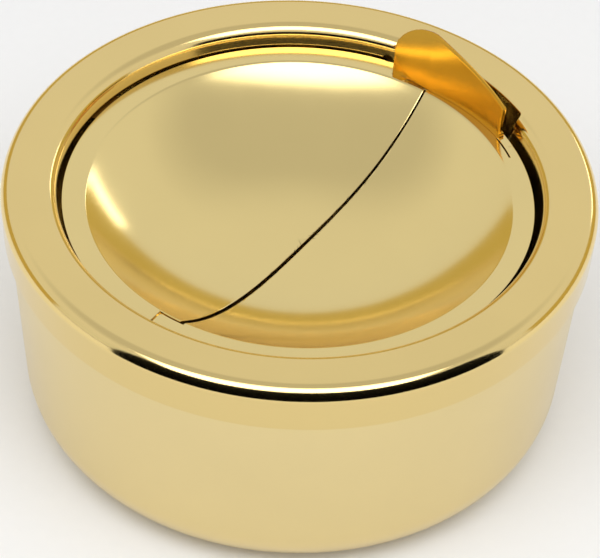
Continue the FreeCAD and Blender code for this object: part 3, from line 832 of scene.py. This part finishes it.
class ASHTRAY_OT_stage(bpy.types.Operator):
    """Pale floor, soft boxes, a dark flag and the camera"""
    bl_idname = "ashtray.stage"
    bl_label = "Stage"

    horizon = 0.76             # brightness of the studio's walls
    zenith = 0.60              # and of its ceiling

    def execute(self, context):
        self.floor()
        self.world(context)
        self.cards()
        self.camera(context)
        context.scene.view_settings.view_transform = "Standard"
        return {"FINISHED"}

    def floor(self):
        deselect()
        bpy.ops.mesh.primitive_circle_add(vertices=128, radius=3.0, fill_type="NGON", location=CENTRE)
        floor = bpy.context.object
        floor.name = "stage_floor"
        finish = Finish("floor_paper")
        speckle = noise(finish, 400.0, 3.0)
        finish.set(Base_Color=blend_colours(finish, speckle, grey(0.86), grey(0.88)), Roughness=0.9)
        floor.data.materials.append(finish.material)

    def world(self, context):
        world = bpy.data.worlds.new("studio")
        world.use_nodes = True
        context.scene.world = world
        tree = world.node_tree
        background = tree.nodes["Background"]
        background.inputs["Strength"].default_value = 1.0
        coordinates = tree.nodes.new("ShaderNodeTexCoord")
        split = tree.nodes.new("ShaderNodeSeparateXYZ")
        ramp = tree.nodes.new("ShaderNodeValToRGB")
        tree.links.new(coordinates.outputs["Generated"], split.inputs["Vector"])
        tree.links.new(split.outputs["Z"], ramp.inputs["Fac"])
        tree.links.new(ramp.outputs["Color"], background.inputs["Color"])
        stops = ramp.color_ramp.elements
        stops[0].color, stops[1].color = grey(self.horizon), grey(self.zenith)
        stops.new(math.sin(math.radians(44.4))).color = grey(self.horizon + 0.02)
        stops.new(math.sin(math.radians(58.2))).color = grey(self.zenith)

    def cards(self):
        self.shining_card("box_overhead", 0.0, 66.0, 0.75, (0.92, 0.46), 3.4)
        self.shining_card("box_behind", 143.0, 23.0, 0.8, (0.25, 0.09), 3.0)
        self.far_reflector()
        self.flag()

    def shining_card(self, name, turn, elevation, distance, extent, strength):
        """Soft box that faces the object and fades out towards its upper edge, angles in degrees."""
        place = camera_frame(math.radians(turn), math.radians(elevation)) * distance
        deselect()
        bpy.ops.mesh.primitive_plane_add(size=1.0, location=CENTRE)
        card = bpy.context.object
        card.name = name
        card.scale = extent + (1.0,)
        card.location = place
        card.rotation_euler = (-place).to_track_quat("-Z", "Y").to_euler()
        finish = Finish(name)
        coordinates = finish.node("ShaderNodeTexCoord", output="Object")
        up = finish.node("ShaderNodeSeparateXYZ", {}, {"Vector": coordinates}, output=1)
        fade = finish.node("ShaderNodeMapRange", {"interpolation_type": "SMOOTHSTEP"},
                           {"Value": up, "From Min": 0.5, "From Max": 0.28, "To Min": 0.15, "To Max": 1.0})
        finish.set(Base_Color=grey(0.0), Roughness=1.0, Emission_Strength=strength,
                   Emission_Color=blend_colours(finish, fade, grey(0.0), grey(1.0)))
        self.hide_card(card, finish)

    def far_reflector(self):
        """Low warm band round the far side."""
        band = turned_sheet("reflector_far", [(0.6, 0.0), (0.6, 0.24)], 96)
        self.keep_sector(band, math.pi, math.radians(95.0))
        finish = Finish("reflector_far")
        finish.set(Base_Color=grey(0.0), Roughness=1.0, Emission_Color=(1.0, 0.78, 0.24, 1.0),
                   Emission_Strength=0.55)
        self.hide_card(band, finish)
        band.visible_diffuse = False

    def flag(self):
        """Black sheet that stands open round the camera's side, seen only in the shoulder and the lip."""
        sheet = turned_sheet("flag_camera", [(0.10, 0.03), (0.14, 0.138)], 96)
        self.keep_sector(sheet, math.radians(5.0), math.radians(54.0))
        finish = Finish("flag_camera")
        finish.set(Base_Color=grey(0.0), Roughness=1.0, Specular_IOR_Level=0.0)
        self.hide_card(sheet, finish)
        sheet.visible_diffuse = False

    def keep_sector(self, piece, turn, reach):
        """Takes away the faces further than reach from this turn from the camera's azimuth."""
        middle = camera_frame(turn, 0.0)
        select_faces(piece, lambda place: middle.angle(Vector((place.x, place.y, 0.0))) > reach)
        bpy.ops.mesh.delete(type="FACE")
        bpy.ops.object.mode_set(mode="OBJECT")

    def hide_card(self, card, finish):
        card.data.materials.append(finish.material)
        card.visible_camera = False
        card.visible_shadow = False

    def camera(self, context):
        data = bpy.data.cameras.new("camera")
        data.lens = 228.0
        data.sensor_width = 36.0
        data.clip_start = 0.01
        camera = bpy.data.objects.new("camera", data)
        context.scene.collection.objects.link(camera)
        camera.location = AIM + camera_frame(0.0, CAMERA_ELEVATION) * CAMERA_DISTANCE
        context.scene.camera = camera
        level = (-camera_frame(0.0, CAMERA_ELEVATION)).to_track_quat("-Z", "Y").to_matrix()
        lowered = level @ Matrix.Rotation(CAMERA_ROLL, 3, "Z") @ Matrix.Rotation(-CAMERA_LOWERED, 3, "X")
        camera.rotation_euler = lowered.to_euler()


# ---- panel and registration ----------------------------------------------------------------------

class ASHTRAY_PT_panel(bpy.types.Panel):
    """The ashtray's pieces, in the order that they are made"""
    bl_idname = "ASHTRAY_PT_panel"
    bl_label = "Ashtray"
    bl_space_type = "VIEW_3D"
    bl_region_type = "UI"
    bl_category = "Ashtray"

    def draw(self, context):
        for operator in OPERATORS:
            self.layout.operator(operator.bl_idname)
        for group in GROUPS:
            self.layout.label(text=group)
            values = getattr(context.scene, group)
            for name in values.bl_rna.properties.keys():
                if name not in ("rna_type", "name"):
                    self.layout.prop(values, name)


GROUPS = {
    "ashtray_sheet": AshtraySheet,
    "ashtray_ring": AshtrayRing,
    "ashtray_pot": AshtrayPot,
    "ashtray_dish": AshtrayDish,
    "ashtray_lever": AshtrayLever,
    "ashtray_spring": AshtraySpring,
    "ashtray_finish": AshtrayFinish,
}
OPERATORS = (ASHTRAY_OT_pot, ASHTRAY_OT_ring, ASHTRAY_OT_dish, ASHTRAY_OT_lever, ASHTRAY_OT_spring,
             ASHTRAY_OT_hardware, ASHTRAY_OT_stage)
CLASSES = (*GROUPS.values(), *OPERATORS, ASHTRAY_PT_panel)


def register():
    for item in CLASSES:
        bpy.utils.register_class(item)
    for name, group in GROUPS.items():
        setattr(bpy.types.Scene, name, PointerProperty(type=group))


def unregister():
    for name in GROUPS:
        delattr(bpy.types.Scene, name)
    for item in reversed(CLASSES):
        bpy.utils.unregister_class(item)


def main():
    register()
    bpy.ops.ashtray.pot()
    bpy.ops.ashtray.ring()
    bpy.ops.ashtray.dish()
    bpy.ops.ashtray.lever()
    bpy.ops.ashtray.spring()
    bpy.ops.ashtray.hardware()
    bpy.ops.ashtray.stage()


if __name__ == "__main__":
    main()
